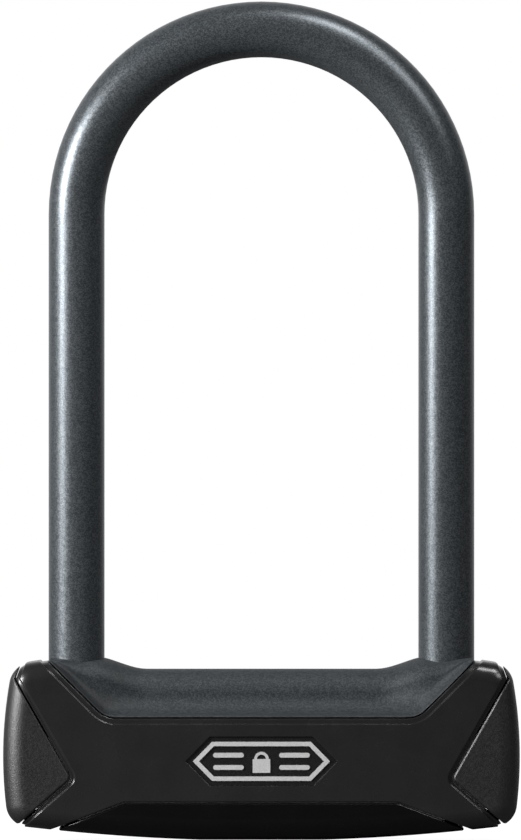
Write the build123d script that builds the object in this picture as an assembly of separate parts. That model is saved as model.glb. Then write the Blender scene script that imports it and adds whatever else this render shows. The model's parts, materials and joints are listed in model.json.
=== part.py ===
"""Compact U lock: a coated steel shackle whose notched feet are held by two bolts in a clad crossbar.

Frame: millimetres, +Z up from the flat land under the crossbar to the crown of the shackle, +X along the
crossbar, -Y towards the front. The origin is the middle of the flat land. The lock is stored closed with the
bolts drawn in, so the shackle can lift out and the key can throw the bolts.
"""

from build123d import *
import os
from math import cos, radians, sin, sqrt

# Clearances and tolerances used all over
CLEAR = 0.1
SNUG = 0.05
RUN = 0.06
NEAR = 0.01
TOUCH = 0.002
FAR = 80.0

# Shackle
BAR_R = 6.0
COAT_R = 7.32
LEG_X = 48.43
CROWN_Z = 219.3
FOOT_END_Z = 17.0
FOOT_CHAMFER = 1.2
COAT_END_Z = 43.6
COAT_FIT = 0.03
COAT_ROUND = 0.4
NOTCH_LOW_Z, NOTCH_HIGH_Z = 25.3, 33.3
NOTCH_DEPTH = 5.6

# Cladding: outline seen from the front
HALF_WIDTH = 67.5
HALF_DEPTH = 17.0
BULGE_Z = 21.9
BULGE_R = 110.0
KEEL_R = 525.0
LAND_HALF = 16.0
TOP_Z = 47.0
TOP_FLAT_X = 56.0
TOP_SLOPE = 0.16
CORNER_R, CORNER_Z = 6.2, 4.0
EDGE_R = 5.4
SEAM_GAP = 0.36
SEAM_ROUND = 0.45
STEP_DEEP = 0.5
SADDLE_STEP_WIDE, CAP_STEP_WIDE = 1.4, 0.9
STEP_ROUND = 0.3
LIP_ROUND = 0.2
CAP_CHAMFER = 0.4
TONGUE, TONGUE_PLAY = 1.3, 0.1
TONGUE_SUNK = 1.6
TONGUE_HALF_Y = 8.0
CAP_TONGUE_X = 59.3
KEEL_TONGUE_Z = 5.0

# Parting lines of the cladding, right half, as (x, z)
SADDLE_LINE_X, SADDLE_LINE_Z = 40.9, 31.9
SADDLE_LINE_RISE = 1.0
SADDLE_LINE_R = 7.0
CAP_TIP = (49.5, 16.0)
CAP_TOP_BEND = (64.3, 42.0)
CAP_TOP_END = (62.6, 46.6)
CAP_LOW_END = (62.5, 4.7)
CAP_TIP_R = 1.6
KEEL_LINE_X, KEEL_LINE_Z = 35.8, 9.7
KEEL_LINE_FALL = 7.1 / 19.0
KEEL_LINE_R = 3.0
EDGE_SAMPLES = (0.15, 0.5, 0.85)

# Saddle: hat-shaped section with a ridge that widens and climbs towards the legs
RIDGE_HALF_Y, RIDGE_SPREAD = 8.0, 2.4
RIDGE_BASE_Z, RIDGE_BASE_CLIMB, RIDGE_EAR_CLIMB = 37.9, 4.1, 5.1
RIDGE_TOP_Z, RIDGE_TOP_CLIMB, RIDGE_TOP_DIP = 44.5, 3.4, 0.5
CLIMB_START_X, CLIMB_END_X, RIDGE_END_X = 30.0, 44.5, 55.2
RIDGE_STEPS = 18
BRIM_SUNK, BRIM_LIFT, BRIM_ROUND = 1.6, 0.6, 0.5
BRIM_EASE = 1.2
SADDLE_FOOT_Z = 20.0
LEG_HOLE_R = COAT_R + 0.28
RIDGE_SPACE_X, RIDGE_SPACE_Y, RIDGE_SPACE_Z = 36.0, 4.4, 41.8

# Lock case: house-shaped steel profile
CASE_HALF_X = 58.5
CASE_Y = 14.0
CASE_LOW_Z = 5.3
CASE_SHOULDER_Z = 26.8
CASE_TOP_Z = 35.5
CASE_TOP_Y = 5.5
CASE_WALL = 2.2
FIT = 0.12

# Socket blocks
BLOCK_INNER_X = 38.7
SOCKET_R = BAR_R + 0.2
SOCKET_FLOOR_Z = 16.4
COLLAR_R = 8.6
COLLAR_LOW_Z, COLLAR_TOP_Z = 20.0, 39.6
COLLAR_FIT = 0.15
PIN_PLAY = 0.03
BLOCK_PIN_R = 2.0
BLOCK_PIN_Z = 12.0
SEAL_LOW_Z, SEAL_HIGH_Z = 39.7, 41.9
SEAL_R = 8.4
SEAL_FIT = 0.15

# Bolts and scroll cam
BOLT_Y = 3.5
BOLT_LOW_Z, BOLT_HIGH_Z = 25.8, 32.8
BOLT_INNER_X, BOLT_TIP_X = 0.7, 41.9
BOLT_CHAMFER = 0.7
BOLT_PIN_PLAY = 0.02
THROW = 6.0
QUARTER = 90.0
PIN_R = 1.2
PIN_X = 3.0
PIN_LOW_Z, PIN_HIGH_Z = 23.0, 30.0
CAM_R = 11.4
CAM_LOW_Z, CAM_HIGH_Z = 22.75, 25.3
SLOT_HALF = 1.35
SLOT_STEPS = 8
CHAMBER_R, CHAMBER_AIR = 12.0, 0.25
RAIL_LOW_Z = 25.7
CARRIER_GAP = 0.3
CARRIER_POCKETS_X = ((14.5, 24.0), (26.5, 36.0))
CARRIER_POCKET_Y, CARRIER_POCKET_Z = 9.0, 21.0

# Key cylinder
HOUSING_R = 9.5
HOUSING_LOW_Z, HOUSING_HIGH_Z = 5.5, 22.3
PLUG_R = 6.5
PLUG_LOW_Z, PLUG_HIGH_Z = 7.4, 20.95
PLUG_BORE_R = 5.25
PLUG_FACE, PLUG_BACK = 0.6, 0.4
TAIL_HIGH_Z = 22.2
LUG_R, LUG_ANGLE = 5.1, 50.0
LUG_RADIAL, LUG_WIDE = 2.2, 2.8
LUG_ROOT, LUG_HIGH_Z = 0.2, 25.0
GUARD_R, GUARD_LOW_Z, GUARD_HIGH_Z = 6.4, 6.1, 7.3
GUARD_LIP = 0.8
KEYWAY_R, KEYWAY_FLAT = 3.6, 1.7
DISC_COUNT = 7
DISC_R, DISC_THICK, SPACER_THICK = 5.15, 1.35, 0.48
SPACER_BORE_R = 3.9
DISC_AIR = 0.02
GATE_WIDE, GATE_DEEP = 1.6, 1.0
FALSE_GATE_STEP = 18.0
BAR_WIDE, BAR_SEAT, BAR_DROP = 1.4, 1.2, 1.1
CYL_PIN_R, CYL_PIN_X, CYL_PIN_Z = 1.5, 9.2, 13.0

# Keyhole and its shutter
KEYHOLE_R = 4.6
RECESS_LOW_X, RECESS_HIGH_X = -6.8, 18.8
RECESS_Y, RECESS_Z = 5.5, 1.7
GROOVE_Y, GROOVE_LOW_Z = 6.4, 0.8
SHUTTER_HALF_X, SHUTTER_Y = 6.5, 5.3
SHUTTER_LOW_Z, SHUTTER_HIGH_Z = 0.35, 1.55
FLANGE_Y, FLANGE_LOW_Z = 6.2, 0.95
RIB_COUNT, RIB_PITCH, RIB_HALF, RIB_HALF_Y = 5, 1.5, 0.35, 4.3
RIB_LOW_Z = 0.1

# Badge on the front shell
BADGE_Z = 20.6
BADGE_HALF_X, BADGE_HALF_Z = 17.9, 5.1
BADGE_POINT = 5.0
BADGE_RING = 1.15
POCKET_MARGIN = 1.3
POCKET_DEPTH = 0.9
PLATE_THICK, PLATE_PLAY = 0.5, 0.06
RING_THICK = 0.35
SIGN_THICK = 0.25
SIGN_HALF_X, SIGN_LOW_Z, SIGN_HIGH_Z = 2.3, -3.0, 0.6
BOW_OUT, BOW_IN = 1.9, 1.15
STROKE_X, STROKE_LIFT, STROKE_LONG, STROKE_WIDE = 8.6, 1.6, 8.0, 1.25

SIDES = (("left", -1), ("right", 1))


def box(x, y, z):
    """Box between pairs of limits."""
    size = [high - low for low, high in (x, y, z)]
    middle = [(high + low) / 2 for low, high in (x, y, z)]
    return Pos(*middle) * Box(*size)


def upright(radius, low, high, x=0.0, y=0.0):
    """Cylinder along Z between two heights."""
    return Pos(x, y, (low + high) / 2) * Cylinder(radius, high - low)


def across(radius, half, x, z):
    """Cylinder along Y, centred on the middle plane."""
    return Pos(x, 0, z) * Rot(90, 0, 0) * Cylinder(radius, 2 * half)


def front_face(points, corners=()):
    """Flat face from (x, z) points seen from the front, with some of its corners rounded."""
    face = make_face(Polyline(*points, close=True))
    for at, radius in corners:
        corner = min(face.vertices(), key=lambda v: (Vector(v) - Vector(*at)).length)
        face = fillet(corner, radius)
    return face


def thick(face, by=0.0, half=FAR):
    """Front face, offset in its own plane, stood up in XZ and pulled out both ways along Y."""
    if by:
        face = offset(face, amount=by, kind=Kind.INTERSECTION)
    return extrude(Plane.XZ * face, amount=half, dir=(0, 1, 0), both=True)


def mirrored(points):
    """Right-hand points, completed with their mirror images in reverse order."""
    return list(points) + [(-x, z) for x, z in reversed(points)]


def saddle_region():
    """Above the saddle's seam: a flat run with a slope up to each leg."""
    far_x = SADDLE_LINE_X + (FAR - SADDLE_LINE_Z) / SADDLE_LINE_RISE
    corner = (SADDLE_LINE_X, SADDLE_LINE_Z)
    rounded = [((side * corner[0], corner[1]), SADDLE_LINE_R) for _, side in SIDES]
    return front_face(mirrored([corner, (far_x, FAR)]), rounded)


def keel_region():
    """Below the keel's seam: a flat run that falls away to the underside."""
    drop = (FAR - KEEL_LINE_X) * KEEL_LINE_FALL
    corner = (KEEL_LINE_X, KEEL_LINE_Z)
    low = [corner, (FAR, KEEL_LINE_Z - drop), (FAR, -FAR)]
    rounded = [((side * corner[0], corner[1]), KEEL_LINE_R) for _, side in SIDES]
    return front_face(mirrored(low), rounded)


def cap_region(side):
    """Outside an end cap's pointed seam."""
    fall = (CAP_TIP[1] - CAP_LOW_END[1]) / (CAP_LOW_END[0] - CAP_TIP[0])
    low = (FAR, CAP_TIP[1] - fall * (FAR - CAP_TIP[0]))
    points = [CAP_TIP, low, (FAR, FAR), (CAP_TOP_END[0], FAR), CAP_TOP_END, CAP_TOP_BEND]
    return front_face([(side * x, z) for x, z in points], [((side * CAP_TIP[0], CAP_TIP[1]), CAP_TIP_R)])


def clad_body(inset=0.0):
    """Rounded block of the crossbar before it is split along its seams, or a smaller one inside its skin."""
    low, top = inset, TOP_Z - inset

    def side_x(z):
        return HALF_WIDTH - inset - (z - BULGE_Z) ** 2 / (2 * BULGE_R)

    def keel_z(x):
        return low + (x**2 - LAND_HALF**2) / (2 * KEEL_R)

    low_x = side_x(CORNER_Z)
    mid_x = (LAND_HALF + low_x) / 2
    high_z = top - TOP_SLOPE * (side_x(top) - TOP_FLAT_X)
    high_x = side_x(high_z)
    edges = [Line((-LAND_HALF, low), (LAND_HALF, low)), Line((-TOP_FLAT_X, top), (TOP_FLAT_X, top))]
    for _, s in SIDES:
        corner = (s * low_x, keel_z(low_x))
        edges += [
            ThreePointArc((s * LAND_HALF, low), (s * mid_x, keel_z(mid_x)), corner),
            ThreePointArc(corner, (s * (HALF_WIDTH - inset), BULGE_Z), (s * high_x, high_z)),
            Line((s * high_x, high_z), (s * TOP_FLAT_X, top)),
        ]
    outline = make_face(edges)
    corners = [v for v in outline.vertices() if abs(v.X) > TOP_FLAT_X + 1]
    block = thick(fillet(corners, CORNER_R - inset), half=HALF_DEPTH - inset)
    rims = [e for e in block.edges() if abs(abs(e.center().Y) - HALF_DEPTH + inset) < NEAR]
    return fillet(rims, EDGE_R - inset)


def hat_section(x, half, base, top, brim_y, brim_z):
    """Closed section of the saddle: a crown, a hollow apron down to each rounded brim, and a deep foot."""
    lip_y = brim_y - BRIM_ROUND
    right = [
        EllipticalCenterArc((lip_y, base), lip_y - half, base - brim_z, start_angle=180, arc_size=90),
        CenterArc((lip_y, brim_z - BRIM_ROUND), BRIM_ROUND, start_angle=0, arc_size=90),
        Line((brim_y, brim_z - BRIM_ROUND), (brim_y, SADDLE_FOOT_Z)),
    ]
    left = [mirror(e, about=Plane.YZ) for e in right]
    crown = EllipticalCenterArc((0, base), half, top - base, start_angle=0, arc_size=180)
    floor = Line((-brim_y, SADDLE_FOOT_Z), (brim_y, SADDLE_FOOT_Z))
    face = make_face(right + left + [crown, floor])
    return Plane(origin=(x, 0, 0), x_dir=(0, 1, 0), z_dir=(1, 0, 0)) * face


def ease(x, start, end):
    """Smooth climb from 0 to 1 between two distances from the middle."""
    share = min(max((x - start) / (end - start), 0.0), 1.0)
    return share * share * (3 - 2 * share)


def saddle_section(x):
    """Section of the ridge: low between the legs, climbing to them, flat behind the ears."""
    away = abs(x)
    past = away - SADDLE_LINE_X
    brim_z = SADDLE_LINE_Z + BRIM_LIFT + SADDLE_LINE_RISE * (past + sqrt(past**2 + BRIM_EASE**2)) / 2
    bend = max(brim_z - (TOP_Z - EDGE_R), 0.0)
    brim_y = HALF_DEPTH - EDGE_R + sqrt(EDGE_R**2 - bend**2) - BRIM_SUNK
    near, far = ease(away, CLIMB_START_X, CLIMB_END_X), ease(away, CLIMB_END_X, RIDGE_END_X)
    base = RIDGE_BASE_Z + RIDGE_BASE_CLIMB * near + RIDGE_EAR_CLIMB * far
    top = RIDGE_TOP_Z + RIDGE_TOP_CLIMB * near - RIDGE_TOP_DIP * far
    return hat_section(x, RIDGE_HALF_Y + RIDGE_SPREAD * near, base, top, brim_y, brim_z)


def saddle_body():
    """Ridge lofted through closely spaced sections on each climb."""
    pitch = (RIDGE_END_X - CLIMB_START_X) / RIDGE_STEPS
    places = [CLIMB_START_X + i * pitch for i in range(RIDGE_STEPS + 1)]
    return loft([saddle_section(x) for x in [-x for x in reversed(places)] + places], ruled=True)


def house(y, low, shoulder, top_y, top, half_x):
    """House-shaped profile pulled along X."""
    points = [(-y, low), (y, low), (y, shoulder), (top_y, top), (-top_y, top), (-y, shoulder)]
    face = make_face(Polyline(*points, close=True))
    plane = Plane(origin=(0, 0, 0), x_dir=(0, 1, 0), z_dir=(1, 0, 0))
    return extrude(plane * face, amount=half_x, both=True)


def case_profile(inset, half_x):
    """House profile of the lock case, moved inwards by inset on every side."""
    run, climb = CASE_Y - CASE_TOP_Y, CASE_TOP_Z - CASE_SHOULDER_Z
    slope_len = sqrt(run**2 + climb**2)
    offset_c = climb * CASE_Y + run * CASE_SHOULDER_Z - inset * slope_len
    y, top = CASE_Y - inset, CASE_TOP_Z - inset
    shoulder, top_y = (offset_c - climb * y) / run, (offset_c - run * top) / climb
    return house(y, CASE_LOW_Z + inset, shoulder, top_y, top, half_x)


def cladding_cavity():
    """Space inside the cladding for the lock case, the collars and the leg seals."""
    space = case_profile(-FIT, CASE_HALF_X + FIT)
    under_ridge = (CASE_TOP_Z - 1, RIDGE_SPACE_Z)
    space += box((-RIDGE_SPACE_X, RIDGE_SPACE_X), (-RIDGE_SPACE_Y, RIDGE_SPACE_Y), under_ridge)
    for _, s in SIDES:
        space += upright(COLLAR_R + FIT, COLLAR_LOW_Z, SEAL_HIGH_Z + SEAL_FIT, s * LEG_X)
        space += upright(LEG_HOLE_R, COLLAR_LOW_Z, FAR, s * LEG_X)
    return space


def seam_edges(part, outer, cutters):
    """Edges of a cladding part that lie both on the outer skin and on a seam's cut."""
    found = []
    for e in part.edges():
        points = [e.position_at(t) for t in EDGE_SAMPLES]
        on_skin = all(min(f.distance_to(p) for f in outer.faces()) < TOUCH for p in points)
        if on_skin and any(all(c.distance_to(p) < TOUCH for p in points) for c in cutters):
            found.append(e)
    return found


def walls(solid):
    """Faces of an extruded region that run along Y."""
    return [f for f in solid.faces() if abs(f.normal_at().Y) < 0.5]


def split_off(hollow, face, skin, soften, size):
    """Part of the hollow cladding inside a region, with its outer seam edges filleted or chamfered."""
    cutter = thick(face, -SEAM_GAP / 2)
    part = hollow & cutter
    return soften(seam_edges(part, skin, walls(cutter)), size)


def tongue(region, zone, play=0.0):
    """Strip that reaches past a seam into the shells, so that no light shows through it, or its slot."""
    reach = thick(region, SEAM_GAP / 2 + TONGUE + play)
    return reach & clad_body(TONGUE_SUNK - play) & zone


def cap_zone(s, play=0.0):
    """Solid end of the cladding, outside the lock case, that holds an end cap's tongue."""
    half_y = TONGUE_HALF_Y + play
    return box(sorted((s * (CAP_TONGUE_X - play), s * FAR)), (-half_y, half_y), (-FAR, FAR))


def keel_zone(play=0.0):
    """Wall under the lock case that holds the keel's tongue."""
    half_y = TONGUE_HALF_Y + play
    return box((-FAR, FAR), (-half_y, half_y), (-FAR, KEEL_TONGUE_Z + play))


def shell(hollow, skin, face_side):
    """Front or rear shell, with a sunk lip beside the saddle's seam and the end caps' seams."""
    depth = sorted((face_side * SEAM_GAP / 2, face_side * FAR))
    keel_cut = thick(keel_region(), SEAM_GAP / 2)
    part = (hollow & box((-FAR, FAR), depth, (-FAR, FAR))) - keel_cut
    regions = [(saddle_region(), SADDLE_STEP_WIDE)] + [(cap_region(s), CAP_STEP_WIDE) for _, s in SIDES]
    cuts = [thick(region, SEAM_GAP / 2) for region, _ in regions]
    for cut in cuts:
        part = part - cut
    part = fillet(seam_edges(part, skin, walls(keel_cut)), SEAM_ROUND)
    inner = clad_body(STEP_DEEP)
    for region, wide in regions:
        step = thick(region, SEAM_GAP / 2 + wide)
        part -= step - inner
        part = fillet(seam_edges(part, skin, walls(step)), STEP_ROUND)
    for cut in cuts:
        part = fillet(seam_edges(part, inner, walls(cut)), LIP_ROUND)
    for _, s in SIDES:
        part -= tongue(cap_region(s), cap_zone(s, TONGUE_PLAY), TONGUE_PLAY)
    return part - tongue(keel_region(), keel_zone(TONGUE_PLAY), TONGUE_PLAY)


def end_cap(hollow, skin, s):
    """End cap with a chamfered seam and a tongue behind it."""
    cap = split_off(hollow, cap_region(s), skin, chamfer, CAP_CHAMFER)
    return cap + (tongue(cap_region(s), cap_zone(s)) & hollow)


def saddle_cover():
    """Grey ridge between and around the legs, hollow over the lock case."""
    cover = saddle_body() & thick(saddle_region(), -SEAM_GAP / 2)
    return cover - cladding_cavity()


def badge_outline(by=0.0):
    """Stretched hexagon of the badge."""
    x, z = BADGE_HALF_X, BADGE_HALF_Z
    right = [(x, BADGE_Z), (x - BADGE_POINT, BADGE_Z + z)]
    left = [(BADGE_POINT - x, BADGE_Z + z), (-x, BADGE_Z)]
    low = [(BADGE_POINT - x, BADGE_Z - z), (x - BADGE_POINT, BADGE_Z - z)]
    face = front_face(right + left + low)
    return offset(face, amount=by, kind=Kind.INTERSECTION) if by else face


def on_front(face, floor, height):
    """Front face raised from a depth behind the front plane by a height."""
    low = -HALF_DEPTH + floor - height
    return thick(face) & box((-FAR, FAR), (low, low + height), (-FAR, FAR))


def front_shell(hollow, skin):
    """Front shell with the shallow pocket of the badge."""
    return shell(hollow, skin, -1) - on_front(badge_outline(POCKET_MARGIN), POCKET_DEPTH, POCKET_DEPTH + 1)


def badge_plate():
    """Backing plate of the badge."""
    return on_front(badge_outline(POCKET_MARGIN - PLATE_PLAY), POCKET_DEPTH, PLATE_THICK)


def badge_frame():
    """Bright rim on the backing plate."""
    ring = badge_outline() - badge_outline(-BADGE_RING)
    return on_front(ring, POCKET_DEPTH - PLATE_THICK, RING_THICK)


def badge_emblem():
    """Small padlock sign between two pairs of bars."""
    floor = POCKET_DEPTH - PLATE_THICK
    middle = (SIGN_LOW_Z + SIGN_HIGH_Z) / 2
    sign = Pos(0, BADGE_Z + middle) * Rectangle(2 * SIGN_HALF_X, SIGN_HIGH_Z - SIGN_LOW_Z)
    bow = Pos(0, BADGE_Z + SIGN_HIGH_Z) * (Circle(BOW_OUT) - Circle(BOW_IN))
    sign += bow & Pos(0, BADGE_Z + SIGN_HIGH_Z + BOW_OUT / 2) * Rectangle(2 * BOW_OUT, BOW_OUT)
    for _, s in SIDES:
        for lift in (-STROKE_LIFT, STROKE_LIFT):
            sign += Pos(s * STROKE_X, BADGE_Z + lift) * SlotOverall(STROKE_LONG, STROKE_WIDE)
    return Part() + [on_front(piece, floor, SIGN_THICK) for piece in sign.faces()]


def keel_cover(hollow, skin):
    """Cover under the lock with the keyhole and the track of its shutter."""
    cover = split_off(hollow, keel_region(), skin, fillet, SEAM_ROUND)
    cover += tongue(keel_region(), keel_zone()) & hollow
    cover -= box((RECESS_LOW_X, RECESS_HIGH_X), (-RECESS_Y, RECESS_Y), (-1, RECESS_Z))
    cover -= box((RECESS_LOW_X, RECESS_HIGH_X), (-GROOVE_Y, GROOVE_Y), (GROOVE_LOW_Z, RECESS_Z))
    return cover - upright(KEYHOLE_R, -1, CASE_LOW_Z + 1)


def keyhole_shutter():
    """Sliding cover of the keyhole with two edge flanges and finger ribs."""
    x = (-SHUTTER_HALF_X, SHUTTER_HALF_X)
    plate = box(x, (-SHUTTER_Y, SHUTTER_Y), (SHUTTER_LOW_Z, SHUTTER_HIGH_Z))
    plate += box(x, (-FLANGE_Y, FLANGE_Y), (FLANGE_LOW_Z, SHUTTER_HIGH_Z))
    for i in range(RIB_COUNT):
        at = (i - (RIB_COUNT - 1) / 2) * RIB_PITCH
        rib = (at - RIB_HALF, at + RIB_HALF)
        plate += box(rib, (-RIB_HALF_Y, RIB_HALF_Y), (RIB_LOW_Z, SHUTTER_LOW_Z + CLEAR))
    return plate


def lock_case():
    """Folded steel case with end slots for the collars and holes for the cylinder and the pins."""
    case = case_profile(0, CASE_HALF_X) - case_profile(CASE_WALL, CASE_HALF_X + 1)
    case -= upright(HOUSING_R + CLEAR, 0, CASE_LOW_Z + CASE_WALL + 1)
    hole = COLLAR_R + COLLAR_FIT
    for _, s in SIDES:
        case -= upright(hole, COLLAR_LOW_Z, FAR, s * LEG_X)
        case -= box(sorted((s * LEG_X, s * FAR)), (-hole, hole), (COLLAR_LOW_Z, FAR))
        case -= across(BLOCK_PIN_R + PIN_PLAY, FAR, s * LEG_X, BLOCK_PIN_Z)
        case -= across(CYL_PIN_R + PIN_PLAY, FAR, s * CYL_PIN_X, CYL_PIN_Z)
    return case


def socket_block(s):
    """Block and collar around one foot of the shackle, with the window for the bolt."""
    x = sorted((s * BLOCK_INNER_X, s * (CASE_HALF_X - CLEAR)))
    block = case_profile(CASE_WALL + CLEAR, CASE_HALF_X) & box(x, (-FAR, FAR), (0, FAR))
    block += upright(COLLAR_R, COLLAR_LOW_Z, COLLAR_TOP_Z, s * LEG_X)
    block -= upright(SOCKET_R, SOCKET_FLOOR_Z, FAR, s * LEG_X)
    window = sorted((s * (BLOCK_INNER_X - 1), s * LEG_X))
    half_y = BOLT_Y + CLEAR
    block -= box(window, (-half_y, half_y), (BOLT_LOW_Z - CLEAR, CASE_TOP_Z - CASE_WALL))
    return block - across(BLOCK_PIN_R + PIN_PLAY, FAR, s * LEG_X, BLOCK_PIN_Z)


def pin_pair(radius, x, z):
    """Two cross pins, one on each side."""
    return Part() + [across(radius, CASE_Y - CLEAR, s * x, z) for _, s in SIDES]


def leg_seal(s):
    """Ring that wipes one leg above its collar."""
    ring = upright(SEAL_R, SEAL_LOW_Z, SEAL_HIGH_Z, s * LEG_X)
    return ring - upright(BAR_R + SEAL_FIT, SEAL_LOW_Z - 1, SEAL_HIGH_Z + 1, s * LEG_X)


def mechanism_carrier():
    """Cast filler that seats the cylinder and the cam, with pockets to save weight."""
    filler = case_profile(CASE_WALL + CLEAR, BLOCK_INNER_X - CARRIER_GAP)
    carrier = filler & box((-FAR, FAR), (-FAR, FAR), (0, RAIL_LOW_Z - CLEAR))
    carrier -= upright(HOUSING_R + CLEAR, 0, FAR)
    carrier -= upright(CHAMBER_R, CAM_LOW_Z - CHAMBER_AIR, FAR)
    for _, s in SIDES:
        carrier -= across(CYL_PIN_R + PIN_PLAY, FAR, s * CYL_PIN_X, CYL_PIN_Z)
        for low, high in CARRIER_POCKETS_X:
            x = sorted((s * low, s * high))
            carrier -= box(x, (-CARRIER_POCKET_Y, CARRIER_POCKET_Y), (0, CARRIER_POCKET_Z))
    return carrier


def bolt_rail(s):
    """Guide beside the two bolts, under the roof of the case."""
    filler = case_profile(CASE_WALL + CLEAR, BLOCK_INNER_X - CARRIER_GAP)
    side = sorted((s * (BOLT_Y + CLEAR), s * FAR))
    return filler & box((-FAR, FAR), side, (RAIL_LOW_Z + SNUG, FAR))


def shackle_path(low):
    """Centreline of the shackle from one foot over the crown to the other."""
    bend_r = LEG_X
    centre_z = CROWN_Z - COAT_R - bend_r
    left = Line((-LEG_X, 0, low), (-LEG_X, 0, centre_z))
    crown = ThreePointArc((-LEG_X, 0, centre_z), (0, 0, centre_z + bend_r), (LEG_X, 0, centre_z))
    right = Line((LEG_X, 0, centre_z), (LEG_X, 0, low))
    return Wire([left, crown, right])


def swept(radius, low):
    """Round bar along the shackle's centreline."""
    return sweep(Plane(origin=(-LEG_X, 0, low), z_dir=(0, 0, 1)) * Circle(radius), path=shackle_path(low))


def shackle_bar():
    """Steel bar with chamfered feet and a notch for a bolt on the inner side of each."""
    bar = swept(BAR_R, FOOT_END_Z)
    ends = [e for e in bar.edges() if abs(e.center().Z - FOOT_END_Z) < NEAR]
    bar = chamfer(ends, FOOT_CHAMFER)
    floor = LEG_X - BAR_R + NOTCH_DEPTH
    for _, s in SIDES:
        x = sorted((s * (LEG_X - BAR_R - 1), s * floor))
        bar -= box(x, (-BAR_R - 1, BAR_R + 1), (NOTCH_LOW_Z, NOTCH_HIGH_Z))
    return bar


def shackle_coat():
    """Thick plastic coat of the shackle above the crossbar."""
    coat = swept(COAT_R, COAT_END_Z)
    ends = [e for e in coat.edges() if abs(e.center().Z - COAT_END_Z) < NEAR]
    return fillet(ends, COAT_ROUND) - swept(BAR_R + COAT_FIT, COAT_END_Z)


def keyway(low, high):
    """D-shaped hole for the key."""
    hole = upright(KEYWAY_R, low, high)
    return hole & box((-FAR, FAR), (-KEYWAY_FLAT, FAR), (low, high))


def cylinder_housing():
    """Housing of the key cylinder with a lip below and a groove for the side bar when locked."""
    housing = upright(HOUSING_R, HOUSING_LOW_Z, HOUSING_HIGH_Z)
    housing -= upright(PLUG_R + RUN, GUARD_LOW_Z - CLEAR, FAR)
    housing -= upright(GUARD_R - GUARD_LIP, 0, GUARD_LOW_Z)
    groove = BAR_WIDE / 2 + CLEAR
    housing -= box((0, PLUG_R + BAR_DROP), (-groove, groove), (PLUG_LOW_Z, FAR))
    for _, s in SIDES:
        housing -= across(CYL_PIN_R + PIN_PLAY, FAR, s * CYL_PIN_X, CYL_PIN_Z)
    return housing


def drill_guard():
    """Hard disc in front of the plug."""
    return upright(GUARD_R, GUARD_LOW_Z, GUARD_HIGH_Z) - keyway(0, FAR)


def plug():
    """Turning drum around the discs, slotted for the side bar."""
    drum = upright(PLUG_R, PLUG_LOW_Z, PLUG_HIGH_Z)
    drum -= upright(PLUG_BORE_R, PLUG_LOW_Z + PLUG_FACE, FAR)
    drum -= keyway(0, FAR)
    slot = BAR_WIDE / 2 + SNUG
    height = (PLUG_LOW_Z + PLUG_FACE, PLUG_HIGH_Z - PLUG_BACK)
    return drum - box((-slot, slot), (-FAR, -DISC_R + BAR_SEAT), height)


def lug(extra, low, high, angle):
    """Driving lug of the plug's tail, or its hole when made a little larger."""
    block = box((LUG_R - LUG_RADIAL / 2 - extra, LUG_R + LUG_RADIAL / 2 + extra),
                (-LUG_WIDE / 2 - extra, LUG_WIDE / 2 + extra), (low, high))
    return Rot(0, 0, angle) * block


def plug_tail():
    """Disc that closes the plug and turns the cam with two lugs."""
    tail = upright(GUARD_R, PLUG_HIGH_Z + SNUG, TAIL_HIGH_Z)
    for angle in (LUG_ANGLE, LUG_ANGLE + 180):
        tail += lug(0, TAIL_HIGH_Z - LUG_ROOT, LUG_HIGH_Z, angle)
    return tail


def disc_low(i):
    """Height of the underside of detainer disc i, counted from 1."""
    return PLUG_LOW_Z + PLUG_FACE + SNUG + (i - 1) * (DISC_THICK + SPACER_THICK + 2 * DISC_AIR)


def gate(width, depth, angle, low, high):
    """Notch in the rim of a disc at an angle measured from the side bar."""
    notch = box((-width / 2, width / 2), (-DISC_R - 1, -DISC_R + depth), (low, high))
    return Rot(0, 0, angle) * notch


def detainer_disc(i):
    """Coded disc: a full gate at the side bar and two shallow false gates."""
    low = disc_low(i)
    disc = upright(DISC_R, low, low + DISC_THICK) - keyway(0, FAR)
    disc -= gate(GATE_WIDE, GATE_DEEP, 0, 0, FAR)
    for step in (2 + i % 3, -3 - i % 4):
        disc -= gate(GATE_WIDE, GATE_DEEP / 2, step * FALSE_GATE_STEP, 0, FAR)
    return disc


def spacer_disc(i):
    """Washer between detainer disc i and the next."""
    low = disc_low(i) + DISC_THICK + DISC_AIR
    washer = upright(DISC_R, low, low + SPACER_THICK) - upright(SPACER_BORE_R, 0, FAR)
    return washer - gate(GATE_WIDE, GATE_DEEP, 0, 0, FAR)


def side_bar():
    """Bar that drops into the gates of the discs and lets the plug turn."""
    low, high = PLUG_LOW_Z + PLUG_FACE + CLEAR, PLUG_HIGH_Z - PLUG_BACK - CLEAR
    return box((-BAR_WIDE / 2, BAR_WIDE / 2), (-PLUG_R + CLEAR, -DISC_R + GATE_DEEP - SNUG), (low, high))


def spiral_slot(turn):
    """Slot that pushes a drive pin outwards by the throw over a quarter turn."""
    def at(share, shift):
        angle = radians(turn - QUARTER * share)
        r = PIN_X + THROW * share
        outward = THROW / radians(QUARTER)
        along = Vector(outward * cos(angle) + r * sin(angle), outward * sin(angle) - r * cos(angle))
        across_dir = Vector(-along.Y, along.X).normalized() * shift
        return (r * cos(angle) + across_dir.X, r * sin(angle) + across_dir.Y)

    shares = [i / SLOT_STEPS for i in range(SLOT_STEPS + 1)]
    inner = [at(share, -SLOT_HALF) for share in shares]
    outer = [at(share, SLOT_HALF) for share in shares]
    strip = make_face([Spline(*inner), Line(inner[-1], outer[-1]), Spline(*outer), Line(outer[0], inner[0])])
    for share in (0, 1):
        strip += Pos(*at(share, 0)) * Circle(SLOT_HALF)
    return Pos(0, 0, CAM_LOW_Z - 1) * extrude(strip, amount=CAM_HIGH_Z - CAM_LOW_Z + 2)


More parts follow.
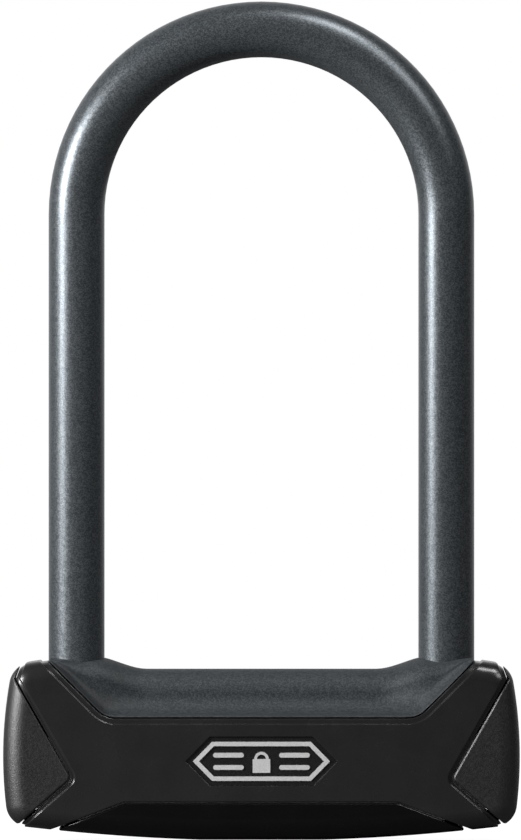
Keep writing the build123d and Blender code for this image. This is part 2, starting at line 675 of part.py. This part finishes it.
def drive_cam():
    """Scroll cam with one spiral slot for each bolt."""
    cam = upright(CAM_R, CAM_LOW_Z, CAM_HIGH_Z) - spiral_slot(0) - spiral_slot(180)
    for angle in (LUG_ANGLE, LUG_ANGLE + 180):
        cam -= lug(RUN, 0, FAR, angle)
    return cam


def bolt(s):
    """Bar that enters the notch of one foot, with a chamfered tip and a hole for its pin."""
    x = sorted((s * BOLT_INNER_X, s * BOLT_TIP_X))
    bar = box(x, (-BOLT_Y, BOLT_Y), (BOLT_LOW_Z, BOLT_HIGH_Z))
    tip = [e for e in bar.edges() if abs(e.center().X - s * BOLT_TIP_X) < NEAR]
    bar = chamfer(tip, BOLT_CHAMFER)
    return bar - upright(PIN_R + BOLT_PIN_PLAY, BOLT_LOW_Z - 1, PIN_HIGH_Z + SNUG, s * PIN_X)


def bolt_pin(s):
    """Pin that joins a bolt to its slot in the cam."""
    return upright(PIN_R, PIN_LOW_Z, PIN_HIGH_Z, s * PIN_X)


def crossbar_cladding():
    """Shells, caps and keel cut from one rounded block."""
    skin = clad_body()
    hollow = skin - cladding_cavity()
    parts = {
        "saddle_cover": saddle_cover(),
        "front_shell": front_shell(hollow, skin),
        "rear_shell": shell(hollow, skin, 1),
        "keel_cover": keel_cover(hollow, skin),
        "keyhole_shutter": keyhole_shutter(),
        "badge_plate": badge_plate(),
        "badge_frame": badge_frame(),
        "badge_emblem": badge_emblem(),
    }
    for name, s in SIDES:
        parts[name + "_end_cap"] = end_cap(hollow, skin, s)
        parts[name + "_leg_seal"] = leg_seal(s)
    return parts


def lock_inside():
    """Case, blocks, rails and bolts."""
    parts = {
        "lock_case": lock_case(),
        "mechanism_carrier": mechanism_carrier(),
        "front_bolt_rail": bolt_rail(-1),
        "rear_bolt_rail": bolt_rail(1),
        "block_pins": pin_pair(BLOCK_PIN_R, LEG_X, BLOCK_PIN_Z),
        "cylinder_pins": pin_pair(CYL_PIN_R, CYL_PIN_X, CYL_PIN_Z),
    }
    for name, s in SIDES:
        parts[name + "_socket_block"] = socket_block(s)
        parts[name + "_bolt"] = bolt(s)
        parts[name + "_bolt_pin"] = bolt_pin(s)
    return parts


def key_cylinder():
    """Disc-detainer cylinder and the cam it turns."""
    parts = {
        "cylinder_housing": cylinder_housing(),
        "drill_guard": drill_guard(),
        "plug": plug(),
        "plug_tail": plug_tail(),
        "side_bar": side_bar(),
        "drive_cam": drive_cam(),
    }
    for i in range(1, DISC_COUNT + 1):
        parts[f"detainer_disc_{i}"] = detainer_disc(i)
    for i in range(1, DISC_COUNT):
        parts[f"spacer_disc_{i}"] = spacer_disc(i)
    return parts


def main():
    """Build every piece and store it in its place in the whole."""
    os.makedirs("parts", exist_ok=True)
    parts = {"shackle_bar": shackle_bar(), "shackle_coat": shackle_coat()}
    parts.update(lock_inside())
    parts.update(key_cylinder())
    parts.update(crossbar_cladding())
    for name, part in parts.items():
        export_step(part, f"parts/{name}.step")
        print(name, len(part.solids()), round(part.volume, 2))


main()
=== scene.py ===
"""Looks of the compact U lock: finishes for the CAD pieces, a pale floor, soft studio light and a long lens.

Metres, in the row frame: +Z up from the flat land under the crossbar, +X along it, -Y towards the front.
Colours are linear red, green and blue from 0 to 1. Lamp powers are watts.
"""
import json

import bpy
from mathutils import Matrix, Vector


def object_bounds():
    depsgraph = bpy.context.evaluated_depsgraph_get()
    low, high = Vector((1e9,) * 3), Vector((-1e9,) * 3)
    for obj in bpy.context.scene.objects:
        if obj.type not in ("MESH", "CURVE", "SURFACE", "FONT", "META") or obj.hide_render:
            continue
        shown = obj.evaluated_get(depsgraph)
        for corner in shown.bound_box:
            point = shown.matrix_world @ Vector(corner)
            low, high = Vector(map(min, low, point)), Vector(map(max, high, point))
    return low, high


MM = 0.001
WHITE = (1.0, 1.0, 1.0)

# Rounding of the black plastics' edges, in shading only.
SOFT_EDGE = 0.5 * MM
SOFT_EDGE_SAMPLES = 12

# Metallic greys: fine flakes, coarser ones in the relief, and orange peel.
FLAKE, COARSE_FLAKE = 0.26 * MM, 0.4 * MM
COARSE_SHARE = 0.3
PEEL = 0.9 * MM
FLAKE_GLOSS, CLOUD_GLOSS = 0.04, 0.05
FILM_ROUGHNESS = 0.3
FLAKE_SPECULAR = 0.35

# Black plastics: size of the mottling, of the moulding texture and of the caps' grain.
MOTTLE, TEXTURE, TEXTURE_DEPTH = 9 * MM, 0.35 * MM, 0.003 * MM
SHELL_SHADE, SHELL_SPECULAR = 0.0140, 0.5
# The keel cover's darker value of the same black is painted shade, for its side that faces down, away from
# the lamps.
KEEL_PAINTED_SHADE, KEEL_SPECULAR = 0.0022, 0.25
GRAIN, BROAD, GRAIN_DEPTH = 0.42 * MM, 4 * MM, 0.07 * MM
CAP_SHADE, CAP_SPECULAR = (0.0026, 0.0026, 0.0028), 0.85
# Factors on the caps' black in the grain's valleys and on its crests: painted shade and painted light that
# follow the bump.
VALLEY_PAINTED_SHADE, HILL_PAINTED_LIGHT = 0.2, 2.2

# Lamps, from the middle of the CAD box: name, place, height aimed at, width, height and power.
LAMPS = (
    ("left_strip", (-0.68, -0.34, 0.21), 0.06, 0.28, 0.30, 12.0),
    ("right_high", (0.72, -0.58, 0.76), 0.05, 0.40, 0.40, 3.6),
    ("right_top", (0.34, -0.28, 0.93), 0.05, 0.30, 0.30, 4.6),
)

# World: how far towards +Y a direction points where the sky starts and stops brightening.
SKY_START, SKY_STOP = 0.35, 0.95

# Lens: sensor width in mm, room round the object's height, and how far right of the middle it stands.
SENSOR = 36.0
ROOM = 1.0035
OFF_MIDDLE = 0.25 * MM


class Finish:
    """One procedural material. Patterns are set in the object's own coordinates, in metres."""

    def __init__(self, name, **surface):
        self.material = bpy.data.materials.new(name)
        self.material.use_nodes = True
        self.tree = self.material.node_tree
        self.shader = self.tree.nodes["Principled BSDF"]
        self.place = self.node("ShaderNodeTexCoord").outputs["Object"]
        for socket, value in surface.items():
            self.shader.inputs[socket.replace("_", " ")].default_value = value

    def node(self, kind, **settings):
        """New node with some of its settings."""
        made = self.tree.nodes.new(kind)
        for key, value in settings.items():
            setattr(made, key, value)
        return made

    def join(self, value, socket):
        """Feeds a socket from another socket, or sets it to a plain value."""
        if isinstance(value, bpy.types.NodeSocket):
            self.tree.links.new(value, socket)
        else:
            socket.default_value = value

    def stretched(self, x, y, z):
        """The object's coordinates scaled along each axis, for streaks."""
        node = self.node("ShaderNodeVectorMath", operation="MULTIPLY")
        self.join(self.place, node.inputs[0])
        node.inputs[1].default_value = (x, y, z)
        return node.outputs["Vector"]

    def noise(self, size, detail=2.0, roughness=0.5, place=None):
        """Cloudy noise from 0 to 1 with features of a size in metres."""
        node = self.node("ShaderNodeTexNoise")
        self.join(place or self.place, node.inputs["Vector"])
        node.inputs["Scale"].default_value = 1 / size
        node.inputs["Detail"].default_value = detail
        node.inputs["Roughness"].default_value = roughness
        return node.outputs["Fac"]

    def flakes(self, size):
        """A random value from 0 to 1 for each small cell of a size in metres."""
        node = self.node("ShaderNodeTexVoronoi")
        self.join(self.place, node.inputs["Vector"])
        node.inputs["Scale"].default_value = 1 / size
        split = self.node("ShaderNodeSeparateColor")
        self.join(node.outputs["Color"], split.inputs["Color"])
        return split.outputs["Red"]

    def spread(self, value, to_low, to_high, low=0.0, high=1.0):
        """Maps low..high to to_low..to_high, and holds it there beyond."""
        node = self.node("ShaderNodeMapRange")
        numbers = (value, low, high, to_low, to_high)
        for key, number in zip(("Value", "From Min", "From Max", "To Min", "To Max"), numbers):
            self.join(number, node.inputs[key])
        return node.outputs["Result"]

    def sum(self, a, b, share):
        """a plus a share of b."""
        node = self.node("ShaderNodeMath", operation="MULTIPLY_ADD")
        self.join(b, node.inputs[0])
        node.inputs[1].default_value = share
        self.join(a, node.inputs[2])
        return node.outputs["Value"]

    def blend(self, share, first, second):
        """Colour between first and second."""
        node = self.node("ShaderNodeMix", data_type="RGBA")
        sockets = [s for s in node.inputs if s.enabled]
        for value, socket in zip((share, (*first, 1.0), (*second, 1.0)), sockets):
            self.join(value, socket)
        return next(s for s in node.outputs if s.enabled)

    def colour(self, value):
        """Sets what feeds the base colour."""
        self.join(value, self.shader.inputs["Base Color"])

    def rough(self, value):
        """Sets what feeds the roughness."""
        self.join(value, self.shader.inputs["Roughness"])

    def relief(self, height, depth, edge=0.0):
        """Bump of a height pattern, 0 to 1, over a depth in metres, on edges softened by a radius."""
        node = self.node("ShaderNodeBump")
        self.join(height, node.inputs["Height"])
        node.inputs["Distance"].default_value = depth
        if edge:
            soft = self.node("ShaderNodeBevel", samples=SOFT_EDGE_SAMPLES)
            soft.inputs["Radius"].default_value = edge
            self.join(soft.outputs["Normal"], node.inputs["Normal"])
        self.join(node.outputs["Normal"], self.shader.inputs["Normal"])


def grey(value):
    """Neutral colour of one brightness."""
    return (value, value, value)


def scaled(colour, by):
    """Colour made darker or lighter by a factor."""
    return tuple(c * by for c in colour)


def metallic_coat(name, dark, light, cloud, gloss, metal, film, peel_depth):
    """Fine metallic grey: flakes in a soft plastic film, with faint orange peel."""
    finish = Finish(
        name, Metallic=metal, Coat_Weight=film, Coat_Roughness=FILM_ROUGHNESS,
        Specular_IOR_Level=FLAKE_SPECULAR,
    )
    flakes = finish.flakes(FLAKE)
    finish.colour(finish.blend(finish.spread(flakes, 0.0, 1.0, low=0.2), dark, light))
    sparkle = finish.spread(flakes, gloss - FLAKE_GLOSS, gloss + FLAKE_GLOSS)
    finish.rough(finish.sum(sparkle, finish.noise(cloud), CLOUD_GLOSS))
    peel = finish.noise(PEEL, detail=3.0)
    finish.relief(finish.sum(peel, finish.flakes(COARSE_FLAKE), COARSE_SHARE), peel_depth)
    return finish.material


def smooth_black(name, shade, specular):
    """Semi-gloss black plastic, with faint mottling and a trace of moulding texture."""
    finish = Finish(name, Specular_IOR_Level=specular)
    mottle = finish.noise(MOTTLE, detail=4.0, roughness=0.6)
    finish.colour(finish.blend(mottle, grey(0.8 * shade), grey(1.2 * shade)))
    finish.rough(finish.spread(mottle, 0.22, 0.29, low=0.3, high=0.7))
    finish.relief(finish.noise(TEXTURE, detail=2.0), TEXTURE_DEPTH, edge=SOFT_EDGE)
    return finish.material


def grained_black():
    """Matt black of the end caps and the shutter, with a fine leathery mould grain whose colour carries
    painted shade in its valleys and painted light on its crests.
    """
    finish = Finish("cap_black", Specular_IOR_Level=CAP_SPECULAR)
    grain = finish.noise(GRAIN, detail=3.0, roughness=0.6)
    broad = finish.noise(BROAD, detail=2.0)
    # Painted shade and light of the grain: the colour follows the bump's height, dark in the valleys and
    # light on the crests.
    grain_painted_shading = finish.spread(grain, 0.0, 1.0, low=0.35, high=0.65)
    finish.colour(finish.blend(grain_painted_shading, scaled(CAP_SHADE, VALLEY_PAINTED_SHADE), scaled(CAP_SHADE, HILL_PAINTED_LIGHT)))
    finish.rough(finish.sum(finish.spread(grain, 0.38, 0.50, low=0.3, high=0.7), broad, 0.05))
    finish.relief(grain, GRAIN_DEPTH, edge=SOFT_EDGE)
    return finish.material


def rubber():
    """Dull rubber with a powdery surface."""
    finish = Finish("seal_rubber", Specular_IOR_Level=0.3)
    dust = finish.noise(1.2 * MM, detail=4.0)
    finish.colour(finish.blend(dust, grey(0.010), grey(0.022)))
    finish.rough(finish.spread(dust, 0.65, 0.85))
    finish.relief(dust, 0.01 * MM)
    return finish.material


def drawn_steel():
    """Bright steel with fine drawing lines along Z and a few duller patches."""
    finish = Finish("steel", Metallic=1.0)
    lines = finish.noise(0.5 * MM, detail=3.0, place=finish.stretched(1.0, 1.0, 0.06))
    patches = finish.noise(7 * MM, detail=3.0, roughness=0.6)
    finish.colour(finish.blend(finish.spread(patches, 0.0, 1.0, low=0.3, high=0.7), grey(0.42), grey(0.68)))
    finish.rough(finish.sum(finish.spread(lines, 0.22, 0.40, low=0.3, high=0.7), patches, 0.08))
    finish.relief(lines, 0.006 * MM)
    return finish.material


def turned_brass():
    """Machined brass with rings across Z, slightly darkened in patches."""
    finish = Finish("cylinder_brass", Metallic=1.0)
    rings = finish.noise(0.4 * MM, detail=2.0, place=finish.stretched(0.2, 0.2, 1.0))
    stain = finish.noise(3 * MM, detail=4.0)
    patches = finish.spread(stain, 0.0, 1.0, low=0.35, high=0.7)
    finish.colour(finish.blend(patches, (0.60, 0.44, 0.20), (0.72, 0.56, 0.29)))
    finish.rough(finish.sum(finish.spread(rings, 0.24, 0.38, low=0.3, high=0.7), stain, 0.06))
    finish.relief(rings, 0.005 * MM)
    return finish.material


def cast_alloy():
    """Die-cast alloy with a dull, slightly pitted skin."""
    finish = Finish("die_cast", Metallic=1.0)
    skin = finish.noise(1.1 * MM, detail=5.0, roughness=0.65)
    finish.colour(finish.blend(skin, (0.30, 0.30, 0.31), (0.52, 0.52, 0.53)))
    finish.rough(finish.spread(skin, 0.40, 0.60, low=0.3, high=0.7))
    finish.relief(skin, 0.03 * MM)
    return finish.material


def badge_gloss():
    """Gloss black backing of the badge with a very fine fleck."""
    finish = Finish("badge_dark", Coat_Weight=0.4, Coat_Roughness=0.15)
    fleck = finish.noise(0.6 * MM, detail=2.0)
    finish.colour(finish.blend(fleck, grey(0.006), grey(0.011)))
    finish.rough(finish.spread(fleck, 0.22, 0.32))
    return finish.material


def badge_silver():
    """Satin silver of the badge's rim and sign, with fine metallic grain."""
    finish = Finish("badge_metal", Metallic=0.15)
    grain = finish.flakes(0.22 * MM)
    finish.colour(finish.blend(grain, grey(0.50), grey(0.62)))
    finish.rough(finish.spread(grain, 0.36, 0.52))
    finish.relief(finish.noise(0.3 * MM), 0.004 * MM)
    return finish.material


def finishes():
    """Material of each slot named in the record."""
    return {
        "coat": metallic_coat(
            "coat", dark=(0.060, 0.069, 0.077), light=(0.134, 0.148, 0.158), cloud=12 * MM,
            gloss=0.32, metal=0.62, film=0.06, peel_depth=0.007 * MM,
        ),
        "saddle_grey": metallic_coat(
            "saddle_grey", dark=(0.014, 0.018, 0.021), light=(0.046, 0.052, 0.056), cloud=18 * MM,
            gloss=0.56, metal=0.1, film=0.0, peel_depth=0.022 * MM,
        ),
        "shell_black": smooth_black("smooth_black", SHELL_SHADE, SHELL_SPECULAR),
        "cap_black": grained_black(),
        "badge_dark": badge_gloss(),
        "badge_metal": badge_silver(),
        "seal_rubber": rubber(),
        "steel": drawn_steel(),
        "cylinder_brass": turned_brass(),
        "die_cast": cast_alloy(),
    }


def dress(frame):
    """Gives every CAD node the finish of its slot; the keel cover gets a darker copy of the shell's black,
    painted shade on its downward-facing side.
    """
    made = finishes()
    for part in frame["record"]["subparts"]:
        mesh = frame["nodes"][part["node"]].data
        mesh.materials.clear()
        mesh.materials.append(made[part["material_slot"]])
    # Painted shade: the keel cover's black is darker than the shells', though it is the same plastic.
    keel = frame["nodes"]["keel_cover"].data
    keel.materials[0] = smooth_black("keel_black_painted_shade", KEEL_PAINTED_SHADE, KEEL_SPECULAR)


def aim(thing, place, target):
    """Puts a light or camera at a place, looking at a target."""
    thing.location = place
    thing.rotation_euler = (Vector(target) - Vector(place)).to_track_quat("-Z", "Y").to_euler()
    bpy.context.collection.objects.link(thing)


def softbox(name, place, target, width, height, power):
    """Rectangular area light."""
    lamp = bpy.data.lights.new(name, "AREA")
    lamp.shape = "RECTANGLE"
    lamp.size, lamp.size_y = width, height
    lamp.energy = power
    aim(bpy.data.objects.new(name, lamp), place, target)


def light_studio(middle):
    """Strong box at the left front, one high on the right, and one nearly overhead on the right."""
    for name, offset, aimed_high, width, height, power in LAMPS:
        target = middle + Vector((0.0, 0.0, aimed_high))
        softbox(name, middle + Vector(offset), target, width, height, power)


def sky(front, back):
    """White behind the object, dim beside and in front of it; pure white where it is seen directly."""
    world = bpy.data.worlds.new("studio")
    bpy.context.scene.world = world
    world.use_nodes = True
    tree = world.node_tree
    shade = tree.nodes["Background"]
    place = tree.nodes.new("ShaderNodeTexCoord")
    split = tree.nodes.new("ShaderNodeSeparateXYZ")
    ramp = tree.nodes.new("ShaderNodeMapRange")
    path = tree.nodes.new("ShaderNodeLightPath")
    pick = tree.nodes.new("ShaderNodeMix")
    tree.links.new(place.outputs["Generated"], split.inputs[0])
    tree.links.new(split.outputs["Y"], ramp.inputs["Value"])
    limits = (("From Min", SKY_START), ("From Max", SKY_STOP), ("To Min", front), ("To Max", back))
    for key, number in limits:
        ramp.inputs[key].default_value = number
    tree.links.new(path.outputs["Is Camera Ray"], pick.inputs[0])
    tree.links.new(ramp.outputs["Result"], pick.inputs[2])
    pick.inputs[3].default_value = 1.0
    tree.links.new(pick.outputs[0], shade.inputs["Strength"])
    shade.inputs["Color"].default_value = (*WHITE, 1.0)


def pale_floor(radius, drop, glow):
    """Round plain floor just under the object: near white to the eye, but dark grey to the object."""
    place = (0.0, 0.0, -drop)
    bpy.ops.mesh.primitive_circle_add(vertices=128, radius=radius, fill_type="NGON", location=place)
    floor = bpy.context.object
    floor.name = "floor"
    finish = Finish("floor_pale", Roughness=0.8, Specular_IOR_Level=0.1)
    finish.colour(finish.blend(finish.noise(0.4), grey(0.10), grey(0.13)))
    finish.shader.inputs["Emission Color"].default_value = (*WHITE, 1.0)
    seen = finish.node("ShaderNodeLightPath").outputs["Is Camera Ray"]
    finish.join(finish.spread(seen, 0.0, glow), finish.shader.inputs["Emission Strength"])
    floor.data.materials.append(finish.material)


def long_lens(low, high, distance):
    """Camera square to the front, far away, with the object filling the frame's height."""
    camera = bpy.data.cameras.new("camera")
    camera.sensor_width = SENSOR
    camera.lens = camera.sensor_width * distance / ((high.z - low.z) * ROOM)
    camera.clip_start, camera.clip_end = 0.1, 60.0
    middle = (low + high) / 2
    target = (middle.x - OFF_MIDDLE, 0.0, middle.z)
    holder = bpy.data.objects.new("camera", camera)
    aim(holder, (target[0], -distance, target[2]), target)
    bpy.context.scene.camera = holder


def plain_colours():
    """Standard view transform, so that white stays white."""
    scene = bpy.context.scene
    scene.view_settings.view_transform = "Standard"
    scene.view_settings.look = "None"


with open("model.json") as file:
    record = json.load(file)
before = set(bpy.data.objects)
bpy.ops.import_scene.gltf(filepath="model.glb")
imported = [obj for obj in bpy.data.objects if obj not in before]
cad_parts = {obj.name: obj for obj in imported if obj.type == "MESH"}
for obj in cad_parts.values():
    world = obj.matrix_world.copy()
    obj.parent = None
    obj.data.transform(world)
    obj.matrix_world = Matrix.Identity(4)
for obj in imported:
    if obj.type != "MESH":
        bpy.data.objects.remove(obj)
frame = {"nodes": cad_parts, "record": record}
cad_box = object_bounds()
dress(frame)
low, high = cad_box
light_studio((low + high) / 2)
sky(front=0.03, back=0.8)
pale_floor(radius=2.2, drop=0.2 * MM, glow=0.96)
long_lens(low, high, distance=4.0)
plain_colours()
